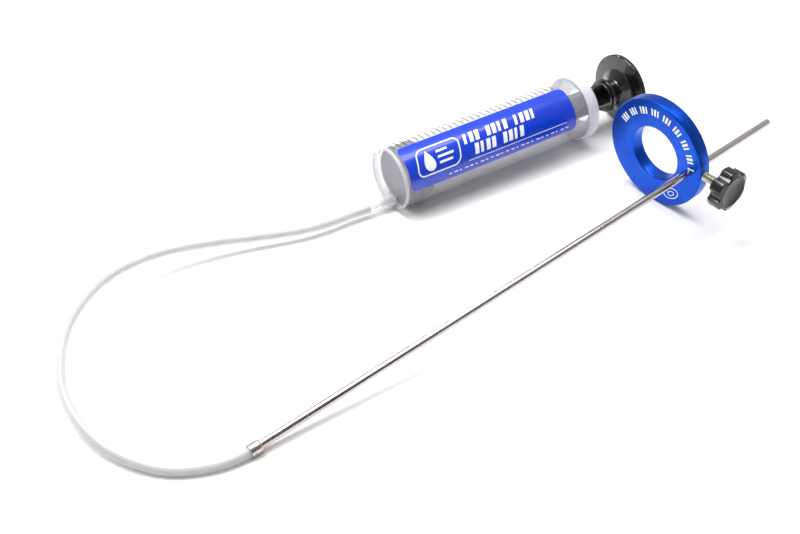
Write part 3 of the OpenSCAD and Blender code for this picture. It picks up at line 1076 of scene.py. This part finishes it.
def make_collar(material):
    """The chamfered ring, bored for the tube and, from its rim, for the stud."""
    bevel, edge = COLLAR_EDGE, 0.15
    outline = rounded([
        (0, COLLAR_BORE_R + bevel, edge), (0, COLLAR_R - bevel, edge), (bevel, COLLAR_R, edge),
        (COLLAR_T - bevel, COLLAR_R, edge), (COLLAR_T, COLLAR_R - bevel, edge),
        (COLLAR_T, COLLAR_BORE_R + bevel, edge), (COLLAR_T - bevel, COLLAR_BORE_R, edge),
        (bevel, COLLAR_BORE_R, edge),
    ], steps=3)
    collar = turned("collar_ring", outline, shifted(PROBE, y=COLLAR_Y), material, 256)
    tube_hole = hole_cutter("tube_hole", -1, COLLAR_T + 1, TUBE_R + SLIP_GAP, PROBE, material)
    reach = COLLAR_R - COLLAR_Y + 2
    stud_hole = hole_cutter("stud_hole", 0, reach, STUD_R + SLIP_GAP, STUD_AXIS, material)
    combine(collar, "DIFFERENCE", tube_hole, stud_hole)
    stands_for(collar, "collar", "blue_anodised", "depth_collar")


def on_collar_face(around, radius, height):
    """Point on the collar's front face, around in degrees from the top towards the tube."""
    angle = math.radians(around)
    return (-height, -radius * math.sin(angle), radius * math.cos(angle))


def polar_on_face(u, v):
    """Angle and radius of a point at (u, v) millimetres from the middle of the small rings."""
    at_angle, at_radius = 146, 28.4
    return at_angle + math.degrees(u / at_radius), at_radius + v


def make_collar_scale(white):
    """Generic bars in an arc over the upper part of the face, and two small oval rings low on
    it beside the tube."""
    bm = bmesh.new()
    start, end, count = -64.0, 84.0, 32
    inner_r, outer_r = 27.2, 32.0
    middle_r = 29.5
    for k in range(count + 1):
        if k % 8 in (3, 7):
            continue
        angle = start + (end - start) * k / count
        wide = 4.4 if k % 2 else 3.0
        rows = [[(angle + wide * s * middle_r / radius, radius) for s in (-0.35, 0, 0.35)]
                for radius in steps_between(inner_r, outer_r, 0.8)]
        patch(bm, rows, on_collar_face, PRINT_LIFT, PRINT_T)
    for half_wide, half_tall, wide in ((6.2, 3.6, 0.5), (2.6, 1.5, 0.45)):
        ring = [(half_wide * math.cos(2 * math.pi * k / 48), half_tall * math.sin(2 * math.pi * k / 48))
                for k in range(48)]
        rows = [[polar_on_face(v, u) for v, u in row] for row in closed_line_rows(ring, wide)]
        patch(bm, rows, on_collar_face, PRINT_LIFT, PRINT_T, loop=True)
    marks = finish_mesh("collar_scale", bm, shifted(PROBE, y=COLLAR_Y), white)
    stands_for(marks, "collar", "blue_anodised")


# ---- clamp: pad, stud, knob and cover, drawn with +X outwards along the stud ----


def make_pad(material):
    low, high = PAD_LOW.z, PAD_HIGH.z
    pad_r, hole_r, hole_depth = 2.8, STUD_PIN_R + SLIP_GAP, 1.9
    outline = rounded([
        (low, 0, 0), (low, pad_r, 0.35), (high, pad_r, 0.35), (high, hole_r, 0.1),
        (high - hole_depth, hole_r, 0.1), (high - hole_depth, 0, 0),
    ], closed=False)
    pad = turned("pad_body", outline, STUD_AXIS, material, 64)
    stands_for(pad, "pad", "nylon", "thrust_pad")


def make_stud(material):
    """The stud: a plain pin in the pad, then an M6 thread, 1 mm to a turn, up to the knob."""
    low, end = STUD_LOW.z, KNOB_LOW.z + STUD_IN_KNOB
    thread_start, thread_end = STUD_TIP + 0.65, KNOB_LOW.z
    thread_depth = 0.5
    start = rounded([(low, 0, 0), (low, STUD_PIN_R, 0.3), (STUD_TIP, STUD_PIN_R, 0.1),
                     (STUD_TIP, 2.4, 0.1), (STUD_TIP + 0.6, STUD_R, 0)], closed=False, steps=3)
    screw = [(x, STUD_R) for x in steps_between(STUD_TIP + 0.7, thread_end, 0.125)]
    finish = [(end - 0.3, STUD_R), (end, STUD_R - 0.3), (end, 0)]

    def thread(x, radius, angle):
        if abs(radius - STUD_R) > 0.01 or not thread_start < x < thread_end:
            return 0
        fade = min(1, (x - thread_start) / 0.5, (thread_end - x) / 1.0)
        phase = (x - angle / (2 * math.pi)) % 1
        return -thread_depth * fade * (1 - abs(2 * phase - 1))

    stud = turned("stud_body", start + screw + finish, STUD_AXIS, material, 64, thread)
    stands_for(stud, "knob", "zinc_stud", "clamp_stud")


def knob_outline(inset):
    """The knob's edge, drawn in by inset. Half of a pitch, from a scallop's middle to a lobe's,
    is drawn and then mirrored and turned."""
    arc_steps = 7
    scallop, corner, scallop_at = SCALLOP_R, 1.2, KNOB_R + SCALLOP_OUT
    pitch = 2 * math.pi / KNOB_LOBES
    lobe_reach = KNOB_R - corner
    cosine = (lobe_reach ** 2 + scallop_at ** 2 - (scallop + corner) ** 2) / (2 * lobe_reach * scallop_at)
    corner_at = math.acos(cosine)
    corner_x, corner_y = lobe_reach * math.cos(corner_at), lobe_reach * math.sin(corner_at)
    facing = math.atan2(corner_y, corner_x - scallop_at)
    points = []
    for lobe in range(KNOB_LOBES):
        middle = KNOB_TURN + (lobe + 0.5) * pitch
        half = []
        for k in range(arc_steps):
            a = math.pi + (facing - math.pi) * k / arc_steps
            half.append((scallop_at + (scallop + inset) * math.cos(a), (scallop + inset) * math.sin(a)))
        for k in range(arc_steps):
            start = facing + math.pi
            a = start + (corner_at + 2 * math.pi - start) * k / arc_steps
            half.append((corner_x + (corner - inset) * math.cos(a),
                         corner_y + (corner - inset) * math.sin(a)))
        for k in range(arc_steps):
            a = corner_at + (pitch / 2 - corner_at) * k / arc_steps
            half.append(((KNOB_R - inset) * math.cos(a), (KNOB_R - inset) * math.sin(a)))
        lobe_tip = [((KNOB_R - inset) * math.cos(pitch / 2), (KNOB_R - inset) * math.sin(pitch / 2))]
        mirrored = [(math.cos(pitch) * x + math.sin(pitch) * y, math.sin(pitch) * x - math.cos(pitch) * y)
                    for x, y in reversed(half[1:])]
        c, s = math.cos(middle), math.sin(middle)
        points += [(c * x - s * y, s * x + c * y) for x, y in half + lobe_tip + mirrored]
    return points


def make_knob(material):
    """The lobed knob, ring after ring of points: a low boss behind, lobes with rounded edges
    that slope back from the front, and a recess for the cover."""
    low, high = KNOB_LOW.z, KNOB_HIGH.z
    body_low = low + 1
    boss_r, boss_edge = 6.0, 0.4
    recess_r = COVER_R + SLIP_GAP
    shoulder = high - 0.3
    valley = KNOB_R + SCALLOP_OUT - SCALLOP_R
    edge, top_edge, slope = 1.1, 0.45, 0.3
    rings = []

    def add_edge(x, inset, fall=0.0):
        """A ring along the lobed edge, which falls back towards the lobes' tips."""
        rings.append([(x - fall * (math.hypot(a, b) - valley), a, b) for a, b in knob_outline(inset)])

    def add_circles(*stations):
        """Round rings with as many points as the lobed edge, each at (x, radius)."""
        for x, radius in stations:
            rings.append([(x, radius * a / math.hypot(a, b), radius * b / math.hypot(a, b))
                          for a, b in knob_outline(0)])

    add_circles((low, STUD_R), (low, boss_r - boss_edge), (low + 0.35, boss_r),
                (body_low, boss_r + 0.1), (body_low, 9.6))
    for k in range(7):
        a = math.pi / 2 * k / 6
        add_edge(body_low + edge * (1 - math.cos(a)), edge * (1 - math.sin(a)))
    for k in range(9):
        a = math.pi / 2 * k / 8
        add_edge(shoulder - top_edge * (1 - math.sin(a)), top_edge * (1 - math.cos(a)), slope)
    add_circles((high - 0.05, COVER_R + 0.3), (high, COVER_R + 0.2), (high, COVER_R + 0.12),
                (high - 0.12, recess_r), (COVER_LOW.z, recess_r), (COVER_LOW.z, STUD_R),
                (low + STUD_IN_KNOB, STUD_R))
    bm = bmesh.new()
    loops = [[bm.verts.new(p) for p in ring] for ring in rings]
    for first, second in zip(loops, loops[1:] + loops[:1]):
        band(bm, first, second)
    knob = finish_mesh("knob_body", bm, STUD_AXIS, material, 40)
    stands_for(knob, "knob", "black_knob", "clamp_knob")


def make_cover(material):
    back, rim = COVER_LOW.z, COVER_HIGH.z
    depth, lip, steps = 1.6, COVER_R - 0.4, 14
    dish = [(rim - depth * (1 - (k / steps) ** 3), lip * k / steps) for k in range(steps - 1, 0, -1)]
    edge = rounded([(back, 0, 0), (back, COVER_R, 0.1), (rim, COVER_R, 0.2), (rim, lip, 0)],
                   closed=False)
    cover = turned("knob_cover", edge + dish + [(rim - depth, 0)], STUD_AXIS, material, 128)
    stands_for(cover, "knob", "knob_cover", "knob_cap")


# ---- studio ----


def make_floor():
    half = 3.0
    mesh = bpy.data.meshes.new("floor")
    mesh.from_pydata([(-half, -half, 0), (half, -half, 0), (half, half, 0), (-half, half, 0)],
                     [], [(0, 1, 2, 3)])
    mesh.materials.append(floor_paint())
    put_in_scene("floor", mesh)


def area_light(name, location, target, size, power):
    data = bpy.data.lights.new(name, "AREA")
    data.shape = "RECTANGLE"
    data.size, data.size_y = size
    data.energy = power
    lamp = put_in_scene(name, data)
    lamp.location = location
    aim = Vector(target) - Vector(location)
    lamp.rotation_euler = aim.to_track_quat("-Z", "Y").to_euler()


def make_world():
    """White studio walls, darker on the side that the camera stands on."""
    world = bpy.data.worlds.new("studio")
    bpy.context.scene.world = world
    world.use_nodes = True
    tree = world.node_tree
    background = tree.nodes["Background"]
    source = tree.nodes.new("ShaderNodeTexCoord")
    towards = tree.nodes.new("ShaderNodeVectorMath")
    towards.operation = "DOT_PRODUCT"
    camera_side = Vector((-0.62, -0.72, 0.3)).normalized()
    towards.inputs[1].default_value = camera_side
    tree.links.new(source.outputs["Generated"], towards.inputs[0])
    shade = ramp(tree, remap(tree, towards.outputs["Value"], 0, 1, -1, 1),
                 (0.45, (0.95, 0.96, 1.0)), (0.72, (0.36, 0.35, 0.36)), (0.95, (0.10, 0.09, 0.09)))
    tree.links.new(shade, background.inputs["Color"])
    background.inputs["Strength"].default_value = 0.62


def light_studio():
    """Two large softboxes, a weak fill and two small lamps for glints."""
    centre = (CAD_BOX[0] + CAD_BOX[1]) / 2
    area_light("key_softbox", (-0.35, 0.6, 1.4), centre, (0.8, 0.6), 18)
    area_light("top_softbox", (0.25, 0.15, 1.6), centre, (1.2, 1.0), 20)
    area_light("fill_softbox", (-0.9, -0.9, 0.9), centre, (0.7, 0.7), 2)
    area_light("left_lamp", (-0.9, 0.5, 1.0), centre, (0.07, 0.07), 2.5)
    area_light("back_lamp", (0.5, 1.2, 0.9), centre, (0.07, 0.07), 2.5)
    make_world()
    bpy.context.scene.view_settings.view_transform = "Standard"


# ---- the object ----

make_camera()
# The hose's paler inner strand is a painted highlight.
make_hose(hose_plastic(), core_line_painted_highlight())

white = print_white()
black = gloss_black()
# The front face's plastic is painted shade and the rim's is a painted highlight.
make_barrel(frosted_plastic(), face_plastic_painted_shade(), rim_plastic_painted_highlight())
make_graduations(scale_ink())
make_label(label_film())
make_label_print(white)
make_cap(cap_plastic())
make_stopper(rubber())
make_rod(black)
make_thumb_disc(black)
make_adapter(clear_plastic())
make_ferrule(worn_nickel())
make_tube(polished_steel())
make_tube_scale(etched_mark())
make_collar(anodised_blue())
make_collar_scale(white)
make_pad(nylon())
make_stud(zinc())
make_knob(satin_black())
make_cover(cover_black())

make_floor()
light_studio()
